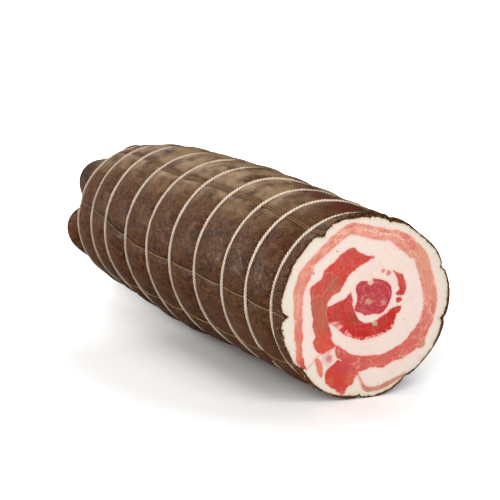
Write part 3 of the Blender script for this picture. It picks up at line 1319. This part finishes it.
# %% Fat finish
fat = Finish("cured_fat", seen(243, 223, 213))
fat.lay(fat.mask(mottle_group, size=0.016, detail=3.0, low=0.42, high=0.66), seen(243, 213, 203), 0.5)
from_axis = node(fat.tree, "ShaderNodeVectorMath",
                 {0: fat.vector, 1: (CUT_X * MM, MIDDLE_Y * MM, CUT_AXIS * MM)}, operation="SUBTRACT").outputs[0]
flat_part = node(fat.tree, "ShaderNodeVectorMath", {0: from_axis, 1: (0, 1, 1)}, operation="MULTIPLY").outputs[0]
axis_distance = node(fat.tree, "ShaderNodeVectorMath", {0: flat_part}, operation="LENGTH").outputs["Value"]
fat.lay(fat.ramp(axis_distance, 0.053, 0.059), seen(232, 223, 208), 0.9)
fat.lay(fat.mask(mottle_group, size=0.003, detail=3.0, low=0.55, high=0.72), seen(242, 208, 196), 0.25)
ragged_near = fat.plus(fat.attribute("lean_near"),
                       fat.mask(mottle_group, size=0.0016, detail=3.0, low=0.3, high=0.7))
fat.lay(fat.ramp(ragged_near, 2.6, 0.5), seen(244, 196, 184), 0.5)
fat.lay(fat.ramp(ragged_near, 0.75, 0.3), seen(236, 158, 140), 0.55)
fat.lay(fat.mask(vein_group, size=0.014, width=0.012, share=0.4), seen(244, 190, 174), 0.4)
fat.lay(fat.mask(speck_group, size=0.012, radius=0.05, share=0.2), seen(228, 150, 138), 0.6)
for y, z, radius, colour, strength in (
        (11.8, 23.7, 1.5, seen(222, 112, 92), 0.85), (16.0, 21.8, 1.7, seen(222, 100, 84), 0.85),
        (-30.5, -33.4, 4.6, seen(230, 168, 166), 0.6), (-31.8, -32.6, 2.4, seen(218, 198, 206), 0.6),
        (-29.2, -32.9, 2.2, seen(206, 84, 90), 0.6), (-29.0, -34.9, 2.0, seen(212, 110, 108), 0.5),
        (-23.4, 40.7, 0.6, seen(110, 84, 90), 0.7), (-41.1, 27.0, 0.9, seen(150, 96, 92), 0.6),
        (28.0, -12.3, 0.5, seen(130, 96, 96), 0.6), (15.4, -9.4, 1.6, seen(150, 124, 92), 0.6)):
    fat.lay(fat.spot(y, z, radius, 1.2, 0.5), colour, strength)
for start, end in (((-46.4, -39.8), (-37.2, -30.6)), ((-37.2, -30.6), (-27.5, -28.4))):
    fat.lay(fat.seam(start, end, 0.55), seen(228, 146, 138), 0.75)
ragged_rim = fat.plus(fat.attribute("rim_near"), fat.mask(mottle_group, size=0.002, detail=4.0, low=0.35, high=0.65))
fat.lay(fat.ramp(ragged_rim, 3.6, 0.6), seen(214, 198, 174), 0.5)
fat.lay(fat.ramp(ragged_rim, 1.3, 0.5), seen(168, 118, 66), 0.7)
fat.raise_by(fat.mask(mottle_group, size=0.002, detail=4.0, low=0.3, high=0.7), 0.05)
cured_fat = fat.done(0.42, Subsurface_Weight=0.25, Subsurface_Scale=0.002, Specular_IOR_Level=0.35)
cured_fat.node_tree.nodes["Principled BSDF"].inputs["Subsurface Radius"].default_value = (1.0, 0.55, 0.4)
body.data.materials.append(dried_casing)
body.data.materials.append(cured_fat)

# %% [markdown]
# ## Lean
# Lean is muscle: moist, red, streaked along the layer. Pale tissue parts it into bundles, each of its own
# tone, and it pales towards the border. Coordinates stored on the mesh run along and across the layer, so
# bundles and streaks follow the spiral. A second stored number deepens the red where the layer turns under
# the roll.

# %% Coordinates along the layers
DEEPENING = {
    "lean_outer": [(-140, 0.95), (-100, 0.9), (-50, 0.75), (-25, 0.6), (-8, 0.25), (20, 0.0), (100, 0.15),
                   (130, 0.0), (195, 0.1), (212, 0.7), (220, 1.0)],
    "lean_middle": [(80, 0.7), (118, 0.6), (130, 0.9), (150, 0.5), (165, 0.1), (190, 0.0), (205, 0.7),
                    (226, 0.4)],
    "lean_inner": [(5, 0.2), (138, 0.5), (175, 0.3), (215, 0.6), (262, 0.9), (320, 0.8), (355, 0.6)],
}


def follow_layer(obj, centre, first_angle, deepening):
    """Stores how far along and across its layer each point of a lean piece lies, and how deep its red is."""
    behind, places = across(obj)
    places = places - centre
    angle = (np.degrees(np.arctan2(places[:, 1], places[:, 0])) - first_angle) % 360 + first_angle
    radius = np.linalg.norm(places, axis=1)
    middle = max(radius.mean(), 8)
    along = np.column_stack([np.radians(angle) * middle, radius, -behind]) * MM
    stored = obj.data.attributes.new("along_layer", "FLOAT_VECTOR", "POINT")
    stored.data.foreach_set("vector", along.astype(np.float32).ravel())
    store(obj, "deep_red", through(deepening, angle) if deepening else np.full(len(angle), 0.4))


for name, piece in lean_pieces.items():
    centre = CORE_CENTRE if name == "lean_core" else (0, 0)
    first_angle = {"lean_outer": -140, "lean_core": -150}.get(name, 5)
    follow_layer(piece, centre, first_angle, DEEPENING.get(name))

# %% Lean finishes
BLOCK = (0.5, 1.0, 0.15)


def lean_finish(name, base, deep, pale, vein, block_size, vein_strength, streak):
    """Muscle in bundles with deep and pale streaks, white tissue between, and a pale border."""
    meat = Finish(name, base)
    along = node(meat.tree, "ShaderNodeAttribute", attribute_name="along_layer").outputs["Vector"]
    fibres = meat.stretched(0.45, 1.0, 0.3, along)
    redness = meat.attribute("deep_red")
    fresh = meat.ramp(redness, 0.4, 1.0, 1.0, 0.35)
    meat.lay(redness, deep)
    blocks = meat.effect(bundle_group, meat.stretched(*BLOCK, along), size=block_size, width=0.07)
    meat.lay(meat.ramp(blocks["Tone"], 0.5, 1.0), deep, 0.35)
    meat.lay(meat.times(fresh, meat.ramp(blocks["Tone"], 0.4, 0.0)), pale, 0.4)
    meat.lay(meat.mask(mottle_group, fibres, size=0.0075, detail=4.0, low=0.45, high=0.65), deep, 0.4)
    meat.lay(meat.times(fresh, meat.mask(mottle_group, fibres, size=0.0022, detail=4.0, low=0.48, high=0.66)), pale,
             streak)
    meat.lay(meat.mask(mottle_group, size=0.0011, detail=2.0, low=0.5, high=0.68), deep, streak * 0.7)
    meat.lay(meat.ramp(redness, 0.55, 1.0), deep, 0.4)
    shown = meat.mask(mottle_group, along, size=0.01, detail=3.0, low=0.42, high=0.56)
    meat.lay(meat.times(blocks["Mask"], shown), vein, vein_strength)
    meat.lay(meat.mask(vein_group, meat.stretched(0.7, 1.0, 0.3, along), size=0.006, width=0.02, share=0.45),
             vein, vein_strength * 0.6)
    ragged_border = meat.plus(meat.attribute("border_near"),
                              meat.mask(mottle_group, size=0.0013, detail=3.0, low=0.3, high=0.7))
    meat.lay(meat.ramp(ragged_border, 1.2, 0.35), vein, 0.5)
    meat.raise_by(meat.mask(mottle_group, fibres, size=0.0016, detail=4.0, low=0.3, high=0.7), 0.1)
    return meat


def finish_meat(meat):
    """Gives lean its moist gloss and lets a little light spread in it."""
    rough = meat.ramp(meat.mask(mottle_group, size=0.004, detail=3.0, low=0.3, high=0.7), 0, 1, 0.34, 0.5)
    made = meat.done(rough, Subsurface_Weight=0.2, Subsurface_Scale=0.0012, Specular_IOR_Level=0.4)
    meat.shader.inputs["Subsurface Radius"].default_value = (1.0, 0.35, 0.25)
    return made


pale_meat = lean_finish("pale_lean_meat", seen(226, 148, 126), seen(208, 86, 76), seen(238, 176, 154),
                        seen(250, 208, 192), 0.0052, 0.55, 0.5)
parted = pale_meat.plus(pale_meat.attribute("parting"),
                        pale_meat.mask(mottle_group, size=0.0014, detail=3.0, low=0.3, high=0.7))
pale_meat.lay(pale_meat.ramp(parted, 1.15, 0.6), seen(252, 222, 208), 0.85)
pale_meat.lay(pale_meat.spot(-52, -22, 15, 0.8, 0.6), seen(222, 116, 98), 0.6)
pale_meat.lay(pale_meat.spot(-47.5, -36, 5, 0.8, 0.6), seen(194, 62, 58), 0.65)
pale_meat.lay(pale_meat.spot(-22, -46, 12, 0.5, 0.4), seen(200, 60, 46), 0.9)
pale_meat.lay(pale_meat.spot(-20, -38, 6, 1.0, 0.6), seen(196, 66, 70), 0.6)
pale_meat.lay(pale_meat.spot(-13.5, -50, 4, 1.2, 0.6), seen(206, 104, 72), 0.6)
pale_meat.lay(pale_meat.spot(-28, -50, 3, 1.2, 0.6), seen(206, 108, 76), 0.45)
pale_meat.lay(pale_meat.spot(-37.8, -38.4, 6.0, 0.8, 0.5), seen(228, 134, 98), 0.75)
for start, end in (((-27.2, -28.6), (-24.7, -33.3)), ((-24.7, -33.3), (-19.8, -36.0))):
    pale_meat.lay(pale_meat.seam(start, end, 0.6), seen(246, 216, 200), 0.9)
pale_meat.lay(pale_meat.spot(-12, -34, 10, 0.8, 0.6), seen(206, 82, 76), 0.5)
pale_meat.lay(pale_meat.spot(14, -38, 14, 0.8, 0.6), seen(214, 92, 82), 0.45)
pale_meat.lay(pale_meat.spot(46.5, 25, 14, 1.0, 0.7), seen(214, 148, 114), 0.4)
pale_meat.lay(pale_meat.spot(42.9, -31.2, 2.6), seen(206, 152, 112), 0.8)

red_meat = lean_finish("red_lean_meat", seen(194, 94, 76), seen(206, 62, 56), seen(216, 118, 100),
                       seen(240, 168, 152), 0.0075, 0.3, 0.35)
red_meat.lay(red_meat.spot(-36, -4, 13, 1.0, 0.7), seen(178, 104, 76), 0.55)
red_meat.lay(red_meat.spot(-32, -23, 8, 0.8, 0.6), seen(224, 82, 64), 0.55)
red_meat.lay(red_meat.spot(-38.6, -22, 2.4, 0.8, 0.6), seen(204, 112, 82), 0.6)
red_meat.lay(red_meat.spot(-27, 19, 5, 1.0, 0.7), seen(160, 104, 76), 0.5)

bright_meat = lean_finish("bright_lean_meat", seen(200, 66, 60), seen(194, 32, 32), seen(218, 98, 84),
                          seen(240, 158, 144), 0.006, 0.2, 0.35)
bright_meat.lay(bright_meat.spot(-20, -3.5, 8, 1.0, 0.6), seen(178, 62, 48), 0.4)
bright_meat.lay(bright_meat.spot(-9, -6.5, 5, 1.0, 0.6), seen(152, 74, 54), 0.45)
spokes = node(bright_meat.tree, "ShaderNodeAttribute", attribute_name="along_layer").outputs["Vector"]
teeth = bright_meat.mask(mottle_group, bright_meat.stretched(1.0, 0.14, 0.2, spokes), size=0.0014, detail=2.0,
                         low=0.46, high=0.54)
outside = bright_meat.ramp(bright_meat.attribute("fringe"), 5.4, 2.6)
bright_meat.lay(bright_meat.times(teeth, outside), seen(246, 168, 154), 0.95)
bright_meat.lay(bright_meat.spot(6.0, -12.8, 1.7), seen(232, 206, 184), 0.9)
bright_meat.lay(bright_meat.spot(6.2, -14.6, 2.8, 0.8, 0.6), seen(150, 84, 50), 0.5)

core_meat = lean_finish("core_lean_meat", seen(196, 72, 80), seen(180, 42, 56), seen(210, 112, 114),
                        seen(236, 160, 160), 0.0065, 0.4, 0.35)
core_rim = core_meat.plus(core_meat.attribute("border_near"),
                          core_meat.mask(mottle_group, size=0.003, detail=3.0, low=0.3, high=0.7))
core_meat.lay(core_meat.ramp(core_rim, 3.4, 1.2), seen(190, 36, 52), 0.5)
core_meat.lay(core_meat.spot(2.3, 16.8, 2.2), seen(240, 200, 180), 0.85)
core_meat.lay(core_meat.spot(0.6, 3.1, 2.3, 1.5, 0.4), seen(216, 172, 140), 0.75)
core_meat.lay(core_meat.spot(12.5, 1.4, 1.8, 1.8, 0.4), seen(232, 164, 154), 0.5)

sizes = bright_meat, red_meat, pale_meat, core_meat
bright_lean, red_lean, pale_lean, core_lean = (finish_meat(meat) for meat in sizes)
strip_meat = lean_finish("strip_lean_meat", seen(206, 142, 120), seen(186, 112, 86), seen(222, 168, 146),
                         seen(238, 196, 178), 0.006, 0.3, 0.4)
strip_lean = finish_meat(strip_meat)
FAR_OFF = 9.0
inner_behind, inner_places = across(lean_pieces["lean_inner"])
inner_angle = np.degrees(np.arctan2(inner_places[:, 1], inner_places[:, 0])) % 360
outer_edge = through([(angle, high) for angle, low, high in INNER_LEAN], inner_angle)
under = ease((inner_angle - 192) / 8) * ease((335 - inner_angle) / 15)
short = 1 + 1.4 * ease((inner_angle - 222) / 20)
fringe = (outer_edge - np.linalg.norm(inner_places, axis=1)) * short + 6 * (1 - under)
store(lean_pieces["lean_inner"], "fringe", fringe)
outer_behind, outer_places = across(lean_pieces["lean_outer"])
outer_angle = np.degrees(np.arctan2(outer_places[:, 1], outer_places[:, 0]))
inside_edge = through([(angle, low) for angle, low, high in OUTER_LEAN[::-1]], outer_angle)
outside_edge = through([(angle, high) for angle, low, high in OUTER_LEAN[::-1]], outer_angle)
parting = np.abs(np.linalg.norm(outer_places, axis=1) - inside_edge - 0.58 * (outside_edge - inside_edge))
parting += FAR_OFF * (1 - ease((outer_angle - 50) / 8) * ease((112 - outer_angle) / 8))
store(lean_pieces["lean_outer"], "parting", parting)
for name, label in (("lean_arc", "fringe"), ("lean_blob", "fringe"), ("lean_sliver", "parting")):
    store(lean_pieces[name], label, np.full(len(lean_pieces[name].data.vertices), FAR_OFF))
for name, piece in lean_pieces.items():
    made = {"lean_outer": pale_lean, "lean_strip": strip_lean, "lean_sliver": pale_lean,
            "lean_middle": red_lean, "lean_core": core_lean}.get(name, bright_lean)
    piece.data.materials.append(made)

# %% [markdown]
# ## Crumbs
# Crumbs and fibres are dried skin in every shade, from burnt black over brown to the beige of clean skin.

# %% Crumb finish
crumb = Finish("casing_crumbs", seen(34, 25, 20))
crumb.lay(crumb.ramp(crumb.attribute("shade"), 0.2, 0.55), seen(98, 68, 42))
crumb.lay(crumb.ramp(crumb.attribute("shade"), 0.6, 0.95), seen(190, 160, 124))
crumb.lay(crumb.mask(mottle_group, size=0.0008, detail=3.0, low=0.4, high=0.6), seen(56, 38, 26), 0.5)
crumb.raise_by(crumb.mask(mottle_group, size=0.0004, detail=2.0, low=0.3, high=0.7), 0.05)
rim_bits.data.materials.append(crumb.done(0.8, Specular_IOR_Level=0.1))

# %% [markdown]
# ## String
# The round strings are clean, beige, matt cotton, darker where juice has stained them. The lengthwise ones lie
# deeper and have taken on the casing's brown.

# %% String finishes


def string_finish(name, base, stain, stain_share, light, crevice):
    """Matt cotton with stains, fine hairs and dark crevices between its yarns."""
    cotton = Finish(name, base)
    cotton.lay(cotton.mask(mottle_group, size=0.014, detail=4.0, low=0.45, high=0.65), stain, stain_share)
    cotton.lay(cotton.mask(mottle_group, size=0.0012, detail=3.0, low=0.5, high=0.62), light, 0.4)
    cotton.lay(cotton.ramp(cotton.attribute("yarn"), 0.0, -0.9), crevice, 0.7)
    cotton.raise_by(cotton.mask(mottle_group, size=0.0004, detail=2.0, low=0.3, high=0.7), 0.05)
    return cotton


clean = string_finish("clean_string", seen(246, 228, 206), seen(226, 196, 174), 0.5, seen(255, 244, 230),
                      seen(150, 120, 92))
string_place = node(clean.tree, "ShaderNodeSeparateXYZ", {0: clean.vector}).outputs["X"]
clean.lay(clean.ramp(string_place, 0.0, -0.2), seen(198, 168, 144), 0.55)
clean_string = clean.done(0.85, Specular_IOR_Level=0.2, Sheen_Weight=0.15, Sheen_Roughness=0.5)
brown = string_finish("brown_string", seen(172, 136, 84), seen(112, 82, 48), 0.6, seen(196, 162, 110),
                      seen(62, 42, 26))
brown.lay(brown.attribute("pair"), seen(130, 92, 60), 0.85)
string_place = node(brown.tree, "ShaderNodeSeparateXYZ", {0: brown.vector}).outputs["X"]
brown.lay(brown.ramp(string_place, -0.02, -0.14), seen(112, 80, 60), 0.8)
brown_string = brown.done(0.8, Specular_IOR_Level=0.2)
for ring in ring_pieces:
    ring.data.materials.append(clean_string)
length_twine.data.materials.append(brown_string)

# %% [markdown]
# ## Camera, floor and light
# The camera stands where the photograph was taken: in front of the cut, to the left of the roll and a little
# above it. A long lens keeps the far end large.

# %% Camera
CAMERA_BEHIND = (1766.0, -934.0, 493.0)
CAMERA_FOCAL = 3022.0
PHOTO_WIDTH = 500.0
SENSOR = 36.0
CAMERA_YAW = 154.4
CAMERA_PITCH = 12.8

camera_data = bpy.data.cameras.new("camera")
camera_data.sensor_width = SENSOR
camera_data.lens = CAMERA_FOCAL / PHOTO_WIDTH * SENSOR
camera_data.clip_start = 0.05
camera_data.clip_end = 20
camera = bpy.data.objects.new("camera", camera_data)
bpy.context.scene.collection.objects.link(camera)
camera.location = Vector((CUT_X + CAMERA_BEHIND[0], CAMERA_BEHIND[1], CUT_AXIS + CAMERA_BEHIND[2])) * MM
yaw, pitch = math.radians(CAMERA_YAW), math.radians(CAMERA_PITCH)
forward = Vector((math.cos(yaw) * math.cos(pitch), math.sin(yaw) * math.cos(pitch), -math.sin(pitch)))
camera.rotation_euler = forward.to_track_quat("-Z", "Y").to_euler()
bpy.context.scene.camera = camera

# %% Floor and light
FLOOR_GLOW = 0.03
SHADOW_CENTRE = (0.08, -0.06, 0.0)
SHADOW_AXES = (0.21, 0.12, 1.0)
SKY_LIGHT = 0.0
floor_mesh = bpy.data.meshes.new("floor")
floor_mesh.from_pydata([(-6, -6, 0), (6, -6, 0), (6, 6, 0), (-6, 6, 0)], [], [(0, 1, 2, 3)])
floor = bpy.data.objects.new("floor", floor_mesh)
bpy.context.scene.collection.objects.link(floor)
floor_finish = Finish("pale_floor", seen(176, 175, 173))
seen_directly = node(floor_finish.tree, "ShaderNodeLightPath").outputs["Is Camera Ray"]
floor_finish.lay(seen_directly, seen(250, 249, 247), 1.0)
floor_finish.lay(floor_finish.mask(mottle_group, size=0.4, detail=2.0, low=0.3, high=0.7), seen(247, 246, 244), 0.1)
from_shadow = node(floor_finish.tree, "ShaderNodeVectorMath", {0: floor_finish.vector, 1: SHADOW_CENTRE},
                   operation="SUBTRACT").outputs[0]
in_shadow = node(floor_finish.tree, "ShaderNodeVectorMath", {0: from_shadow, 1: SHADOW_AXES},
                 operation="DIVIDE").outputs[0]
away = node(floor_finish.tree, "ShaderNodeVectorMath", {0: in_shadow}, operation="LENGTH").outputs["Value"]
sweep = floor_finish.plus(floor_finish.ramp(away, 0.6, 1.3, FLOOR_GLOW, 0.5), floor_finish.ramp(away, 1.2, 2.4))
floor_place = node(floor_finish.tree, "ShaderNodeSeparateXYZ", {0: floor_finish.vector}).outputs
beside = floor_finish.times(floor_finish.ramp(floor_place["Y"], -0.085, -0.02),
                            floor_finish.times(floor_finish.ramp(floor_place["X"], 0.2, 0.12),
                                               floor_finish.ramp(floor_place["X"], -0.05, 0.08)))
floor_finish.lay(floor_finish.times(seen_directly, beside), seen(206, 203, 199), 0.8)
thin_shadow = floor_finish.times(floor_finish.ramp(floor_place["X"], 0.02, -0.07, 0.0, 0.22),
                                 floor_finish.ramp(floor_place["Y"], -0.01, -0.055))
glow = floor_finish.times(seen_directly, floor_finish.plus(sweep, thin_shadow))
floor_finish.tree.links.new(glow, floor_finish.shader.inputs["Emission Strength"])
floor.data.materials.append(floor_finish.done(0.7, Specular_IOR_Level=0.1, Emission_Color=(1, 1, 1, 1)))


def area_light(name, at, aim, size, power):
    """A soft square light."""
    data = bpy.data.lights.new(name, "AREA")
    data.size = size
    data.energy = power
    light = bpy.data.objects.new(name, data)
    light.location = at
    light.rotation_euler = (Vector(aim) - Vector(at)).to_track_quat("-Z", "Y").to_euler()
    bpy.context.scene.collection.objects.link(light)


area_light("front_softbox", (1.7, -0.25, 0.8), (0.2, 0, 0.06), 1.0, 10)
area_light("front_left_softbox", (1.5, -0.9, 0.6), (0.2, 0, 0.06), 1.0, 12)
area_light("front_high_softbox", (1.2, 0.1, 1.4), (0.2, 0, 0.06), 1.0, 13)
area_light("back_left_softbox", (-1.5, -0.9, 0.8), (0, 0, 0.06), 0.8, 16)
area_light("back_softbox", (-1.8, 0.2, 0.9), (0, 0, 0.06), 0.8, 17)
area_light("low_left_softbox", (-1.35, -1.25, 0.25), (0, 0, 0.06), 0.25, 13)
world = bpy.data.worlds.new("studio")
world.use_nodes = True
sky = world.node_tree.nodes["Background"]
sky.inputs["Color"].default_value = (1, 1, 1, 1)
seen_sky = node(world.node_tree, "ShaderNodeLightPath").outputs["Is Camera Ray"]
strength = node(world.node_tree, "ShaderNodeMapRange", {"Value": seen_sky, "To Min": SKY_LIGHT, "To Max": 1.0})
world.node_tree.links.new(strength.outputs["Result"], sky.inputs["Strength"])
bpy.context.scene.world = world
bpy.context.scene.view_settings.view_transform = "Standard"
